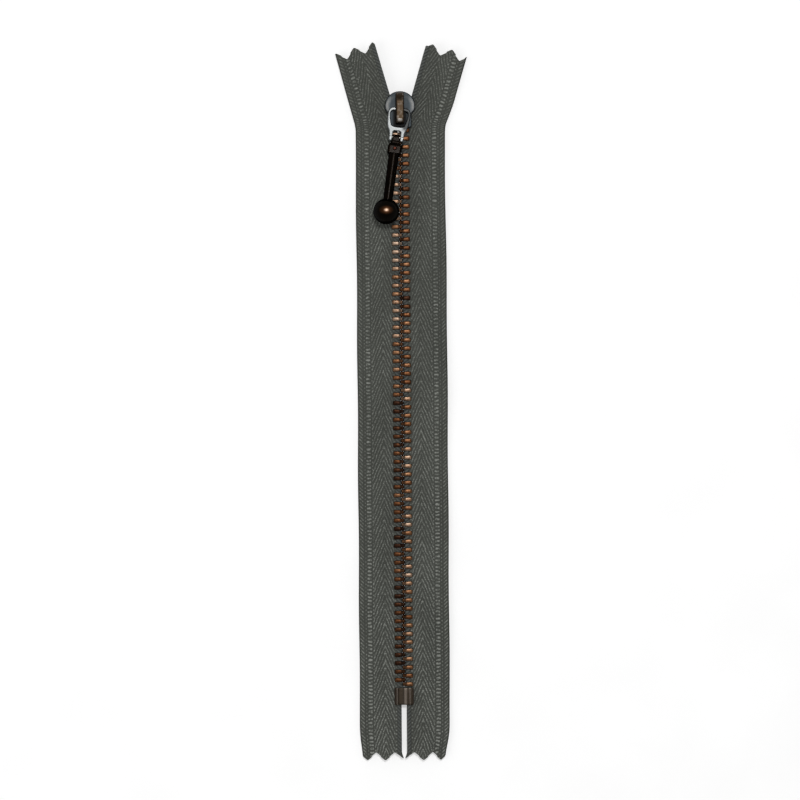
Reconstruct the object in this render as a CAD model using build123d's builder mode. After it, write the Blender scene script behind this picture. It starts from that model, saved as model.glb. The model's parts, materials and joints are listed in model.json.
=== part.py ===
from build123d import *
import os
from math import ceil, cos, radians, sin, tan

# A closed-end metal zipper, lying flat and closed, front face up.
# X runs across the tapes, +Y runs along the chain to the slider end, +Z is up.
# The origin is under the middle of the whole zipper, on the surface it lies on.
# Everything of the right-hand stringer is drawn first; the left one is its mirror.

# ---- driving dimensions, in millimetres and degrees ----
half_length = 105.3          # from the middle to the points of the pinked ends
half_width = 13.1            # from the chain's axis to a tape's outer edge
tape_inner_x = 0.75          # from the chain's axis to a tape's inner edge
tape_thickness = 0.6
mid_z = 2.05                 # height of the tapes' middle plane
splay = 16                   # each tape leaves the slider at this angle
bend_radius = 24.35          # of a tape's inner edge, inside the slider
bend_corner_y = 82.2         # where the inner edge's two straight runs would meet
splayed_run = 20.9           # from the end of the bend to the points of the pinking
pinking_pitch = 5.75
top_pinking_depth = 2.5
bottom_pinking_depth = 2.25
left_first_point = 0.63      # from the inner edge to the first point, top end
right_first_point = 1.93
sewing_margin = 3.2          # outside the woven sewing line
sewing_line_width = 0.3
sewing_line_depth = 0.08

cord_radius = 0.65
cord_bottom_y = -103.4
cord_splayed_run = 19.7

tooth_pitch = 2.46
tooth_thickness = 1.1        # along the chain, at the head
leg_thickness = 1.3          # along the chain, at the legs
tooth_tip_x = -0.45          # the head reaches past the chain's axis
leg_end_x = 2.72
leg_half_height = 1.1
head_half_height = 0.75
nub_height = 0.2
nub_radius = 0.22
hollow_depth = 0.26
hollow_half_height = 0.32
hollow_end_x = 0.4
lowest_right_tooth_y = -83.0
highest_tooth_station = 86.3 # measured along the bead from the middle of the zipper

top_stop_length = 1.9
top_stop_inner_x = 0.4
top_stop_outer_x = 2.4
top_stop_half_height = 1.15
top_stop_gap = 0.35

bottom_stop_top_y = -84.05
bottom_stop_length = 5.0
bottom_stop_half_width = 2.85
bottom_stop_half_height = 1.35
bottom_stop_ridge_x = 1.75
bottom_stop_groove = 0.35
stop_clearance = 0.03

slider_rear_y = 80.0
slider_front_y = 90.75
slider_rear_half_width = 3.4
slider_head_half_width = 4.5
slider_head_y = 86.4
slider_waist_y = 84.2
plate_thickness = 0.8
channel_height = 2.5
tape_slot_height = 1.0
channel_clearance = 0.12
post_front_y = 89.4
pawl_window_y = 82.15
pawl_window_length = 0.9
pawl_window_width = 1.3
front_lug_y = 89.35
front_lug_length = 0.8
front_lug_width = 1.3
front_lug_height = 1.9

cap_rear_y = 81.2
cap_front_y = 90.3
cap_width = 2.5
cap_height = 3.0
cap_wall = 0.45
cap_rear_round = 1.3
cap_front_height = 1.1
cap_flat_front_y = 87.4
ring_window_y = 85.6
ring_window_length = 4.6
ring_window_height = 1.4

pawl_width = 0.84
pawl_thickness = 0.3
pawl_rear_y = 82.0
pawl_front_y = 88.7
pawl_rise = 1.25             # from the slider's top plate to the pawl's underside
pawl_tip_clearance = 0.07    # above the teeth
spring_thickness = 0.15

pull_sway = 8                # the pull lies this far round to the left
pull_pivot_y = 85.3
clip_half_thickness = 0.45
pull_pivot_rise = 0.6        # from the slider's top plate to the clip's mid plane
ring_half_width = 3.3
arm_width = 0.8
prong_gap = 2.3
prong_width = 1.0
prong_end = 8.9              # from the pivot to where the prongs' round ends start
pin_distance = 8.2           # from the pivot to the clip pin
pin_radius = 0.4
pin_length = 4.3
pin_clearance = 0.04

drop_rise = 6.45             # the ball end of the drop lies this much higher
eye_width = 2.0
eye_radius = 0.8
neck_start = 1.35            # distances along the drop are from the clip pin
neck_width = 2.6
neck_thickness = 2.0
collar_start = 2.0
collar_end = 4.9
collar_width = 4.1
collar_thickness = 2.6
stem_start = 2.9
stem_top_radius = 1.4
stem_end_radius = 1.22
rivet_distance = 3.45
rivet_radius = 0.45
rivet_length = 2.9
ball_distance = 22.1
ball_radius = 3.8
stem_depth_in_ball = 2.0

# ---- worked-out dimensions ----
tape_width = half_width - tape_inner_x
bend_y = bend_corner_y - bend_radius * tan(radians(splay / 2))
bend_centre = (tape_inner_x + bend_radius, bend_y)
cord_x = tape_inner_x + cord_radius
bead_bend_radius = bend_radius - cord_radius
bead_bend_length = bead_bend_radius * radians(splay)
slider_height = 2 * plate_thickness + channel_height
plate_top_z = slider_height
pull_pivot_z = plate_top_z + pull_pivot_rise
splay_sin = sin(radians(splay))
splay_cos = cos(radians(splay))


# ---- placing things along the bent right-hand stringer ----
def splayed_point(across, run):
    """A point past the bend: its distance from the inner edge, and along the tape."""
    centre_x, centre_y = bend_centre
    radius = bend_radius - across
    x = centre_x - radius * splay_cos + run * splay_sin
    y = centre_y + radius * splay_sin + run * splay_cos
    return (x, y)


def draw_stringer_line(across, bottom_y, run):
    """Add a line parallel to the inner edge to the BuildLine in use, bottom to top."""
    x = tape_inner_x + across
    Line((x, bottom_y), (x, bend_y))
    CenterArc(bend_centre, bend_radius - across, 180, -splay)
    Line(splayed_point(across, 0), splayed_point(across, run))


def bead_station(station):
    """The place that a piece drawn on the X axis takes, at this length along the bead."""
    past_bend_start = max(0, station - bend_y)
    turn = min(splay, past_bend_start / bead_bend_length * splay)
    straight_y = min(station, bend_y) + max(0, past_bend_start - bead_bend_length)
    centre = Pos(*bend_centre)
    return centre * Rot(0, 0, -turn) * centre.inverse() * Pos(0, straight_y, mid_z)


# ---- tapes and their bead cords ----
def zigzag_depth(distance, depth):
    """How far a pinked end is cut back, at this distance from one of its points."""
    half_pitch = pinking_pitch / 2
    phase = (distance / half_pitch) % 2
    return depth * (phase if phase < 1 else 2 - phase)


def zigzag_corners(first_point, start, end):
    """Distances of the start, of every point and notch between, and of the end."""
    half_pitch = pinking_pitch / 2
    first = ceil((start - first_point) / half_pitch)
    last = int((end - first_point) / half_pitch)
    between = [first_point + step * half_pitch for step in range(first, last + 1)]
    return [start, *between, end]


def pinking_points(first_point):
    """The splayed end, from the middle of the bead cord to the outer edge."""
    return [
        splayed_point(across, splayed_run - zigzag_depth(across - first_point, top_pinking_depth))
        for across in zigzag_corners(first_point, cord_radius, tape_width)
    ]


def bottom_points():
    """The straight end, from the outer edge to the middle of the bead cord."""
    return [
        (x, -half_length + zigzag_depth(x, bottom_pinking_depth))
        for x in reversed(zigzag_corners(0, cord_x, half_width))
    ]


def make_bead_cord():
    with BuildPart() as cord:
        with BuildLine(Plane.XY.offset(mid_z)):
            draw_stringer_line(cord_radius, cord_bottom_y, cord_splayed_run)
        start = Plane(origin=(cord_x, cord_bottom_y, mid_z), x_dir=(1, 0, 0), z_dir=(0, 1, 0))
        with BuildSketch(start):
            Circle(cord_radius)
        sweep()
    return cord


def make_tape(first_point, cord):
    underside = mid_z - tape_thickness / 2
    top_points = pinking_points(first_point)
    low_points = bottom_points()
    with BuildPart() as tape:
        with BuildSketch(Plane.XY.offset(underside)):
            with BuildLine():
                Line(low_points[-1], (cord_x, bend_y))
                CenterArc(bend_centre, bead_bend_radius, 180, -splay)
                Polyline(splayed_point(cord_radius, 0), *top_points, splayed_point(tape_width, 0))
                CenterArc(bend_centre, bend_radius - tape_width, 180, -splay)
                Polyline((half_width, bend_y), *low_points)
            make_face()
        extrude(amount=tape_thickness)
        add(cord.part, mode=Mode.SUBTRACT)
        groove_bottoms = (underside, underside + tape_thickness - sewing_line_depth)
        for groove_bottom in groove_bottoms:
            with BuildSketch(Plane.XY.offset(groove_bottom)):
                with BuildLine() as sewing_line:
                    across = tape_width - sewing_margin
                    draw_stringer_line(across, -half_length, splayed_run + 1)
                trace(sewing_line.line, line_width=sewing_line_width)
            extrude(amount=sewing_line_depth, mode=Mode.SUBTRACT)
    return tape


# ---- chain ----
def make_tooth():
    """One tooth of the right-hand row, its middle on the X axis, Z = 0 on the tape."""
    slot = tape_thickness / 2
    half_leg = leg_thickness / 2
    half_head = tooth_thickness / 2
    with BuildPart() as tooth:
        with BuildSketch(Plane.XZ):
            with BuildLine():
                Polyline(
                    (leg_end_x, slot),
                    (leg_end_x, leg_half_height - 0.3),
                    (leg_end_x - 0.35, leg_half_height),
                    (0.85, leg_half_height),
                    (0.1, head_half_height),
                    (tooth_tip_x + 0.2, head_half_height),
                    (tooth_tip_x, head_half_height - 0.3),
                    (tooth_tip_x, 0),
                    (tape_inner_x, 0),
                    (tape_inner_x, slot),
                    (leg_end_x, slot),
                )
            make_face()
            mirror(about=Plane.XZ)
            with Locations((cord_x, 0)):
                Circle(cord_radius, mode=Mode.SUBTRACT)
        extrude(amount=half_leg, both=True)
        with BuildSketch(Plane.XY.offset(-leg_half_height)):
            with BuildLine():
                tip = Line((tooth_tip_x, 0), (tooth_tip_x, half_head - 0.3))
                corner = RadiusArc(tip @ 1, (tooth_tip_x + 0.3, half_head), 0.3)
                head = Line(corner @ 1, (0.5, half_head))
                Polyline(head @ 1, (0.9, half_leg), (leg_end_x - 0.2, half_leg),
                         (leg_end_x, half_leg - 0.2), (leg_end_x, 0), tip @ 0)
            make_face()
            mirror(about=Plane.XZ)
        extrude(amount=2 * leg_half_height, mode=Mode.INTERSECT)
        with BuildSketch(Plane.XZ.offset(-half_head)):
            Circle(nub_radius)
        extrude(amount=-nub_height, taper=25)
        with BuildSketch(Plane.XZ.offset(half_head)):
            width = hollow_end_x - tooth_tip_x
            with Locations(((hollow_end_x + tooth_tip_x) / 2, 0)):
                Rectangle(width, 2 * hollow_half_height)
        extrude(amount=-hollow_depth, mode=Mode.SUBTRACT)
    return tooth


def tooth_stations(lowest):
    count = int((highest_tooth_station - lowest) / tooth_pitch) + 1
    return [lowest + index * tooth_pitch for index in range(count)]


def make_teeth(tooth, stations):
    with BuildPart() as teeth:
        with Locations(*[bead_station(station) for station in stations]):
            add(tooth.part)
    return teeth


def make_top_stop(station):
    with BuildPart() as stop:
        width = top_stop_outer_x - top_stop_inner_x
        with Locations(((top_stop_inner_x + top_stop_outer_x) / 2, 0, 0)):
            Box(width, top_stop_length, 2 * top_stop_half_height)
        fillet(stop.edges().filter_by(Axis.Y), 0.3)
        with Locations((tape_inner_x + tape_width / 2, 0, 0)):
            Box(tape_width, top_stop_length, tape_thickness, mode=Mode.SUBTRACT)
        with BuildSketch(Plane.XZ):
            with Locations((cord_x, 0)):
                Circle(cord_radius)
        extrude(amount=top_stop_length, both=True, mode=Mode.SUBTRACT)
    with BuildPart() as placed:
        with Locations(bead_station(station)):
            add(stop.part)
    return placed


def make_bottom_stop():
    middle_y = bottom_stop_top_y - bottom_stop_length / 2
    height = 2 * bottom_stop_half_height
    with BuildPart() as stop:
        with Locations((0, middle_y, mid_z)):
            Box(2 * bottom_stop_half_width, bottom_stop_length, height)
        fillet(stop.edges().filter_by(Axis.Y), 0.6)
        fillet(stop.faces().sort_by(Axis.Z)[-1].edges().filter_by(Axis.X), 0.3)
        top = mid_z + bottom_stop_half_height
        with Locations((-bottom_stop_ridge_x, middle_y, top), (bottom_stop_ridge_x, middle_y, top)):
            Box(bottom_stop_groove, bottom_stop_length, bottom_stop_groove, mode=Mode.SUBTRACT)
        inner_x = tape_inner_x - stop_clearance
        slot_height = tape_thickness + 2 * stop_clearance
        for side in (-1, 1):
            with Locations((side * (inner_x + half_width / 2), middle_y, mid_z)):
                Box(half_width, bottom_stop_length, slot_height, mode=Mode.SUBTRACT)
            front = Plane(origin=(side * cord_x, middle_y, mid_z), z_dir=(0, 1, 0))
            with BuildSketch(front):
                Circle(cord_radius + stop_clearance)
            extrude(amount=bottom_stop_length, both=True, mode=Mode.SUBTRACT)
    return stop


# ---- slider ----
def make_slider_body():
    length = slider_front_y - slider_rear_y
    middle_y = (slider_front_y + slider_rear_y) / 2
    waist = (slider_rear_half_width, slider_waist_y)
    shoulder = (slider_head_half_width, slider_head_y)
    with BuildPart() as body:
        with BuildSketch():
            with BuildLine():
                Polyline((0, slider_rear_y), (slider_rear_half_width, slider_rear_y), waist)
                RadiusArc(waist, shoulder, -2.3)
                ThreePointArc(
                    shoulder,
                    (slider_head_half_width * sin(radians(45)), slider_front_y - 1.3),
                    (0, slider_front_y),
                )
                Line((0, slider_front_y), (0, slider_rear_y))
            make_face()
            mirror(about=Plane.YZ)
        extrude(amount=slider_height)
        fillet(body.edges().filter_by(Axis.Z).group_by(Axis.Y)[0], 0.7)
        fillet(body.faces().sort_by(Axis.Z)[-1].outer_wire().edges(), 0.3)
        fillet(body.faces().sort_by(Axis.Z)[0].outer_wire().edges(), 0.3)
        # the two channels that bring the rows together, with the dividing post between
        outer = leg_end_x - tape_inner_x + channel_clearance
        inner = tooth_tip_x - tape_inner_x - channel_clearance
        with BuildSketch(Plane.XY.offset(plate_thickness)):
            with BuildLine():
                low_y = bend_y - 1
                draw_stringer_line(outer, low_y, length)
                draw_stringer_line(inner, low_y, length)
                Line((tape_inner_x + outer, low_y), (tape_inner_x + inner, low_y))
                Line(splayed_point(outer, length), splayed_point(inner, length))
            make_face()
            mirror(about=Plane.YZ)
        extrude(amount=channel_height, mode=Mode.SUBTRACT)
        with Locations((0, post_front_y + slider_head_half_width, mid_z)):
            room = 2 * slider_head_half_width
            Box(room, room, channel_height, mode=Mode.SUBTRACT)
        slot_inner_x = leg_end_x - 0.6
        slot_width = slider_head_half_width
        for side in (-1, 1):
            with Locations((side * (slot_inner_x + slot_width / 2), middle_y, mid_z)):
                Box(slot_width, length, tape_slot_height, mode=Mode.SUBTRACT)
        with Locations((0, pawl_window_y, plate_top_z)):
            Box(pawl_window_width, pawl_window_length, 2 * plate_thickness, mode=Mode.SUBTRACT)
        lug_z = plate_top_z + front_lug_height / 2
        with Locations((0, front_lug_y, lug_z)):
            Box(front_lug_width, front_lug_length, front_lug_height)
    return body


def make_bridge_cap():
    roof_z = plate_top_z + cap_height
    front_z = plate_top_z + cap_front_height
    side = Plane(origin=(0, 0, 0), x_dir=(0, 1, 0), z_dir=(1, 0, 0))
    with BuildPart() as cap:
        with BuildSketch(side):
            with BuildLine():
                Polyline((cap_front_y, front_z), (cap_front_y, plate_top_z),
                         (cap_rear_y, plate_top_z), (cap_rear_y, roof_z - cap_rear_round))
                RadiusArc((cap_rear_y, roof_z - cap_rear_round),
                          (cap_rear_y + cap_rear_round, roof_z), cap_rear_round)
                Line((cap_rear_y + cap_rear_round, roof_z), (cap_flat_front_y, roof_z))
                RadiusArc((cap_flat_front_y, roof_z), (cap_front_y, front_z), 3.4)
            make_face()
        extrude(amount=cap_width / 2, both=True)
        fillet(cap.faces().sort_by(Axis.Z)[-1].edges().filter_by(Axis.Y), 0.45)
        # hollow for the lug, the pawl and its spring
        room_length = front_lug_y + front_lug_length / 2 - cap_rear_y - cap_wall
        room_height = cap_height - cap_wall
        room_y = cap_rear_y + cap_wall + room_length / 2
        lug_top = front_lug_height
        with BuildSketch(side):
            with BuildLine():
                rear = room_y - room_length / 2
                front = room_y + room_length / 2
                Polyline((rear, plate_top_z), (rear, plate_top_z + room_height),
                         (cap_flat_front_y, plate_top_z + room_height),
                         (front, plate_top_z + lug_top), (front, plate_top_z), close=True)
            make_face()
        extrude(amount=cap_width / 2 - cap_wall, both=True, mode=Mode.SUBTRACT)
        with Locations((0, ring_window_y, plate_top_z + ring_window_height / 2)):
            Box(cap_width, ring_window_length, ring_window_height, mode=Mode.SUBTRACT)
    return cap


def make_locking_pawl():
    underside = plate_top_z + pawl_rise
    tip_z = mid_z + leg_half_height + pawl_tip_clearance
    side = Plane(origin=(0, 0, 0), x_dir=(0, 1, 0), z_dir=(1, 0, 0))
    with BuildPart() as pawl:
        with BuildSketch(side):
            with BuildLine():
                Polyline(
                    (pawl_rear_y, tip_z),
                    (pawl_rear_y, underside + pawl_thickness),
                    (pawl_front_y, underside + pawl_thickness),
                    (pawl_front_y, underside),
                    (pawl_rear_y + pawl_thickness, underside),
                    (pawl_rear_y + pawl_thickness, tip_z + 0.25),
                    (pawl_rear_y, tip_z),
                )
            make_face()
        extrude(amount=pawl_width / 2, both=True)
    return pawl


def make_pawl_spring():
    roof = plate_top_z + cap_height - cap_wall
    high = roof - spring_thickness / 2
    low = plate_top_z + pawl_rise + pawl_thickness + 0.17
    side = Plane(origin=(0, 0, 0), x_dir=(0, 1, 0), z_dir=(1, 0, 0))
    with BuildPart() as spring:
        with BuildSketch(side):
            with BuildLine() as leaf:
                flat = Line((pawl_rear_y + 0.9, high), (pawl_rear_y + 3.9, high))
                TangentArc(flat @ 1, (pawl_front_y - 0.7, low), tangent=flat % 1)
            trace(leaf.line, line_width=spring_thickness)
        extrude(amount=pawl_width / 2, both=True)
    return spring


# ---- pull: a flat wishbone clip, its pin and the ball drop ----
sway = radians(pull_sway)
pull_across = Vector(cos(sway), -sin(sway), 0)
pull_along = Vector(-sin(sway), -cos(sway), 0)
pull_pivot = Vector(0, pull_pivot_y, pull_pivot_z)
pin_centre = pull_pivot + pull_along * pin_distance
rise = radians(drop_rise)
drop_along = pull_along * cos(rise) + Vector(0, 0, 1) * sin(rise)
drop_up = Vector(0, 0, 1) * cos(rise) - pull_along * sin(rise)
clip_plane = Plane(origin=pull_pivot, x_dir=pull_across, z_dir=(0, 0, 1))
pin_plane = Plane(origin=pin_centre, x_dir=(0, 0, 1), z_dir=pull_across)
drop_plane = Plane(origin=pin_centre, x_dir=pull_across, z_dir=drop_up)


def drop_section(distance):
    """The plane square to the drop, this far from the clip pin towards the ball."""
    return Plane(origin=pin_centre + drop_along * distance, x_dir=pull_across, z_dir=drop_along)


def make_clip_pin():
    with BuildPart() as pin:
        with BuildSketch(pin_plane):
            Circle(pin_radius)
        extrude(amount=pin_length / 2, both=True)
    return pin


def make_pull_clip(pin):
    half_bar = clip_half_thickness
    prong_inner = prong_gap / 2
    prong_outer = prong_inner + prong_width
    ring_inner = ring_half_width - arm_width
    widest_y = -2.4
    crossbar_top = -5.2
    crossbar_underside = -6.4
    with BuildPart() as clip:
        with BuildSketch(clip_plane):
            with BuildLine():
                Line((0, half_bar), (1.5, half_bar))
                Spline((1.5, half_bar), (ring_half_width, widest_y), (2.85, -5.6),
                       (prong_outer, -prong_end), tangents=[(1, 0), (0, -1)])
                ThreePointArc((prong_outer, -prong_end),
                              (prong_inner + prong_width / 2, -prong_end - prong_width / 2),
                              (prong_inner, -prong_end))
                Line((prong_inner, -prong_end), (prong_inner, crossbar_underside - 0.5))
                RadiusArc((prong_inner, crossbar_underside - 0.5),
                          (prong_inner - 0.5, crossbar_underside), -0.5)
                Polyline((prong_inner - 0.5, crossbar_underside), (0, crossbar_underside),
                         (0, half_bar))
            make_face()
            with BuildLine():
                Line((0, -half_bar), (1.5, -half_bar))
                Spline((1.5, -half_bar), (ring_inner, widest_y), (2.05, -4.2),
                       (0, crossbar_top), tangents=[(1, 0), (-1, 0)])
                Line((0, crossbar_top), (0, -half_bar))
            make_face(mode=Mode.SUBTRACT)
            mirror(about=Plane.YZ)
        extrude(amount=clip_half_thickness, both=True)
        fillet(clip.faces().filter_by(Axis.Z).edges(), 0.22)
        add(pin.part, mode=Mode.SUBTRACT)
    return clip


def make_drop_rivet():
    with BuildPart() as rivet:
        middle = pin_centre + drop_along * rivet_distance
        with BuildSketch(Plane(origin=middle, x_dir=pull_across, z_dir=drop_up)):
            Circle(rivet_radius)
        extrude(amount=rivet_length / 2, both=True)
        fillet(rivet.edges(), 0.12)
    return rivet


def make_drop_stem(rivet):
    stem_end = ball_distance - ball_radius + stem_depth_in_ball
    with BuildPart() as stem:
        with BuildSketch(drop_section(stem_start)):
            Circle(stem_top_radius - 0.3)
        extrude(amount=collar_end - stem_start)
        with BuildSketch(drop_section(collar_end)):
            Circle(stem_top_radius)
        with BuildSketch(drop_section(stem_end)):
            Circle(stem_end_radius)
        loft()
        add(rivet.part, mode=Mode.SUBTRACT)
    return stem


def make_drop_head(stem, rivet):
    with BuildPart() as head:
        with BuildSketch(pin_plane):
            Circle(eye_radius)
        extrude(amount=eye_width / 2, both=True)
        with BuildSketch(drop_section(0)):
            Rectangle(eye_width, 2 * eye_radius)
        extrude(amount=neck_start)
        with BuildSketch(drop_section(neck_start)):
            RectangleRounded(neck_width, neck_thickness, 0.4)
        extrude(amount=collar_start - neck_start)
        with BuildSketch(drop_section(collar_start)):
            RectangleRounded(neck_width + 0.8, collar_thickness - 0.4, 0.5)
        with BuildSketch(drop_section(collar_start + 0.7)):
            RectangleRounded(collar_width, collar_thickness, 0.6)
        loft()
        with BuildSketch(drop_section(collar_start + 0.7)):
            RectangleRounded(collar_width, collar_thickness, 0.6)
        extrude(amount=collar_end - collar_start - 0.7)
        with BuildSketch(pin_plane):
            Circle(pin_radius + pin_clearance)
        extrude(amount=eye_width, both=True, mode=Mode.SUBTRACT)
        add(stem.part, mode=Mode.SUBTRACT)
        add(rivet.part, mode=Mode.SUBTRACT)
    return head


def make_drop_ball(stem):
    with BuildPart() as ball:
        with Locations(Location(pin_centre + drop_along * ball_distance)):
            Sphere(ball_radius)
        add(stem.part, mode=Mode.SUBTRACT)
    return ball


# ---- all the pieces ----
def mirrored(source):
    """The left-hand twin of a right-hand piece."""
    with BuildPart() as twin:
        add(source.part)
        mirror(about=Plane.YZ, mode=Mode.REPLACE)
    return twin


def make_all():
    cord = make_bead_cord()
    tooth = make_tooth()
    right_stations = tooth_stations(lowest_right_tooth_y)
    left_stations = tooth_stations(lowest_right_tooth_y + tooth_pitch / 2)
    past_tooth = leg_thickness / 2 + top_stop_gap + top_stop_length / 2
    clip_pin = make_clip_pin()
    rivet = make_drop_rivet()
    stem = make_drop_stem(rivet)
    return {
        "right_tape": make_tape(right_first_point, cord),
        "left_tape": mirrored(make_tape(left_first_point, cord)),
        "right_bead_cord": cord,
        "left_bead_cord": mirrored(cord),
        "right_teeth": make_teeth(tooth, right_stations),
        "left_teeth": mirrored(make_teeth(tooth, left_stations)),
        "right_top_stop": make_top_stop(right_stations[-1] + past_tooth),
        "left_top_stop": mirrored(make_top_stop(left_stations[-1] + past_tooth)),
        "bottom_stop": make_bottom_stop(),
        "slider_body": make_slider_body(),
        "bridge_cap": make_bridge_cap(),
        "locking_pawl": make_locking_pawl(),
        "pawl_spring": make_pawl_spring(),
        "pull_clip": make_pull_clip(clip_pin),
        "clip_pin": clip_pin,
        "drop_head": make_drop_head(stem, rivet),
        "drop_rivet": rivet,
        "drop_stem": stem,
        "drop_ball": make_drop_ball(stem),
    }


os.makedirs("parts", exist_ok=True)
for name, piece in make_all().items():
    piece.part.label = name
    export_step(piece.part, f"parts/{name}.step")
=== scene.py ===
"""The looks of the closed metal zipper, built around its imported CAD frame.

Lengths named without a unit are metres, in the frame's own axes: +Y up the chain, +Z up from the table.
"""

import json
import math
import random

import bmesh
import bpy
import numpy as np
from mathutils import Matrix, Vector

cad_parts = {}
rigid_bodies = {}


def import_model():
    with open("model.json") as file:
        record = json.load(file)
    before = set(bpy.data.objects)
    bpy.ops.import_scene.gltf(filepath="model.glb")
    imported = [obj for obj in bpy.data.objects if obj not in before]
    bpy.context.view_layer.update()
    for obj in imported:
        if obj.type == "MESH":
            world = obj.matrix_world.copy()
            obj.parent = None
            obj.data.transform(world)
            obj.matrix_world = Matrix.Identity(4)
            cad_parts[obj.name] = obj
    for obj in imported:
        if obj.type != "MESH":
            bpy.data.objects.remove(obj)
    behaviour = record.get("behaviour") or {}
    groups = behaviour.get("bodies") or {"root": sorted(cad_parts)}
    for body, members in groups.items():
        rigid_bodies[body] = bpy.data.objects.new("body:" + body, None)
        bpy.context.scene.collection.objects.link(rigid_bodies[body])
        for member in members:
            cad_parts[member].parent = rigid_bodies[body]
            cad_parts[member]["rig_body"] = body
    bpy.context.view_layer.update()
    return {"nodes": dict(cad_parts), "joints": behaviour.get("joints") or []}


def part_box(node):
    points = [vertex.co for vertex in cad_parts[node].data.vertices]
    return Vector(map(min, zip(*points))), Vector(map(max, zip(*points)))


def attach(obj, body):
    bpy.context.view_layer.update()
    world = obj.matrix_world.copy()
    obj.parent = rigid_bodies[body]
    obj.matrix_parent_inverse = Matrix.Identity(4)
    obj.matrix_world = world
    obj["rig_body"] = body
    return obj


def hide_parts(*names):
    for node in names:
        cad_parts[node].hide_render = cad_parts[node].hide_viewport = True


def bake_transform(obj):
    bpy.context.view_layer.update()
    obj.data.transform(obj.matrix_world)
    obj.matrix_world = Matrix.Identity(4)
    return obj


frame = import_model()
MM = 0.001

# ---------------------------------------------------------------- places read from the frame
tape_low, tape_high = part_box("right_tape")
cord_low, cord_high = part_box("right_bead_cord")
stop_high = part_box("bottom_stop")[1]
right_teeth_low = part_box("right_teeth")[0]
left_teeth_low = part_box("left_teeth")[0]
slider_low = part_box("slider_body")[0]
cap_low, cap_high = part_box("bridge_cap")
clip_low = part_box("pull_clip")[0]
ball_low, ball_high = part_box("drop_ball")

joint_places = {j["name"]: j for j in frame["joints"]}
drop_pivot = Vector(joint_places["drop_swing"]["pos_m"])

inner_x = cord_low.x                        # a tape's inner edge, from the chain's axis
bottom_y = tape_low.y
mid_z = (tape_low.z + tape_high.z) / 2
cord_radius = (cord_high.z - cord_low.z) / 2
cord_across = cord_radius                   # the cord's middle, from the tape's inner edge
cord_bulge = 0.37 * MM                      # of the edge warps, pressed against the other row's heads

# ---------------------------------------------------------------- the stringers' course
tape_width = 12.35 * MM
tape_half_thickness = 0.24 * MM             # without the relief of the weave
splay = math.radians(16)                    # each tape leaves the slider at this angle
bend_radius = 24.35 * MM                    # of the inner edge, inside the slider
bend_y = 78.778 * MM                        # where the bend starts
splayed_run = 20.9 * MM                     # from the end of the bend to the pinking's points
cord_splayed_run = 19.7 * MM
bend_centre = Vector((inner_x + bend_radius, bend_y, 0))
bead_bend_length = (bend_radius - cord_across) * splay
top_station = bend_y + bead_bend_length + splayed_run

pinking_pitch = 5.75 * MM
top_pinking_depth = 2.5 * MM
bottom_pinking_depth = 2.25 * MM
pinking_round = 0.045                       # softness of the pinking's corners, in pitches
first_top_point = {-1: 0.63 * MM, 1: 1.93 * MM}
top_trim = {-1: 0.2 * MM, 1: 0.6 * MM}      # the upper ends are cut a little short of the design's
top_lean = {-1: -0.30 * MM, 1: 0.25 * MM}   # how far out each upper end's tip lies, from the design's
top_lean_length = 6 * MM                    # below the bend's start, where the lean begins
mouth_step = {-1: 0.0, 1: 0.62 * MM}        # how far out each tape leaves the slider's mouth
mouth_step_length = 9 * MM
mouth_step_lag = 4 * MM                     # the outer edge steps out this much further up
extra_width = {-1: -0.08 * MM, 1: 0.30 * MM}  # one tape is woven a little wider than the other
full_extra_width_y = 20 * MM                # below this, and fading out up to the next
no_extra_width_y = 80 * MM
corner_round = 0.7 * MM                     # of each upper end's inner corner
corner_drop = 0.8 * corner_round

edge_droop = 1.15 * MM                      # the outer edge sinks towards the table
droop_start = 4.6 * MM                      # from the inner edge, outside the slider's flanges
droop_power = 1.6
ripple_height = 0.16 * MM
long_ripple = 9.4 * MM                      # along the tape, for one radian of the wave
short_ripple = 5.3 * MM
ripple_phase = {-1: 2.6, 1: 0.9}
edge_waver = 0.07 * MM                      # the outer edge isn't quite straight
edge_waver_length = 6.1 * MM
hem_draw = {-1: 0.85 * MM, 1: 1.45 * MM}    # the lower end's outer corner is drawn in
hem_draw_length = 13 * MM
slit_pinch = 0.62 * MM                      # the lower end's inner corners lean together
slit_pinch_length = 2.6 * MM
slit_pinch_start = 0.2 * MM                 # from the inner edge, fading out up to the next
slit_pinch_end = 2.2 * MM

# ---------------------------------------------------------------- the weave
ladder_pitch = 1.085 * MM                   # two picks of weft
rib_rise = 2 * ladder_pitch                 # the herringbone's repeat along the tape
rib_step = 0.88 * MM                        # and across it
rib_peak = 4.7 * MM                         # from the inner edge to the herringbone's spine
rib_start = 1.9 * MM
rib_end = 8.0 * MM
ladder_across = 9.15 * MM
ladder_half_width = 0.62 * MM
dot_offset = 1.12 * MM                      # the dotted columns either side of the ladder
selvedge_across = 10.9 * MM
weave_height = 0.10 * MM
plain_height = 0.55                         # of the plain weave between the ribs, ladder and dots

tooth_pitch = 2.46 * MM
tooth_count = 69
half_leg = 0.65 * MM                        # half a tooth's thickness along the chain
tooth_half_height = 1.1 * MM
tooth_head_end = 0.5 * MM                   # from the chain's axis, as are the next two
tooth_widest = 1.85 * MM
tooth_end = 2.72 * MM
tooth_head_half_width = 0.42 * MM           # of a crown at its head
tooth_crown_half_width = 0.64 * MM          # and where it is widest

# ---------------------------------------------------------------- the bottom stop's creases
left_crease_x = -2.0                        # of the bottom stop, in millimetres, as are the next two
middle_band_x = 0.4
right_crease_x = 1.75

random_source = random.Random(7)


def smooth_step(low, high, value):
    t = np.clip((value - low) / (high - low), 0, 1)
    return t * t * (3 - 2 * t)


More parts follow.
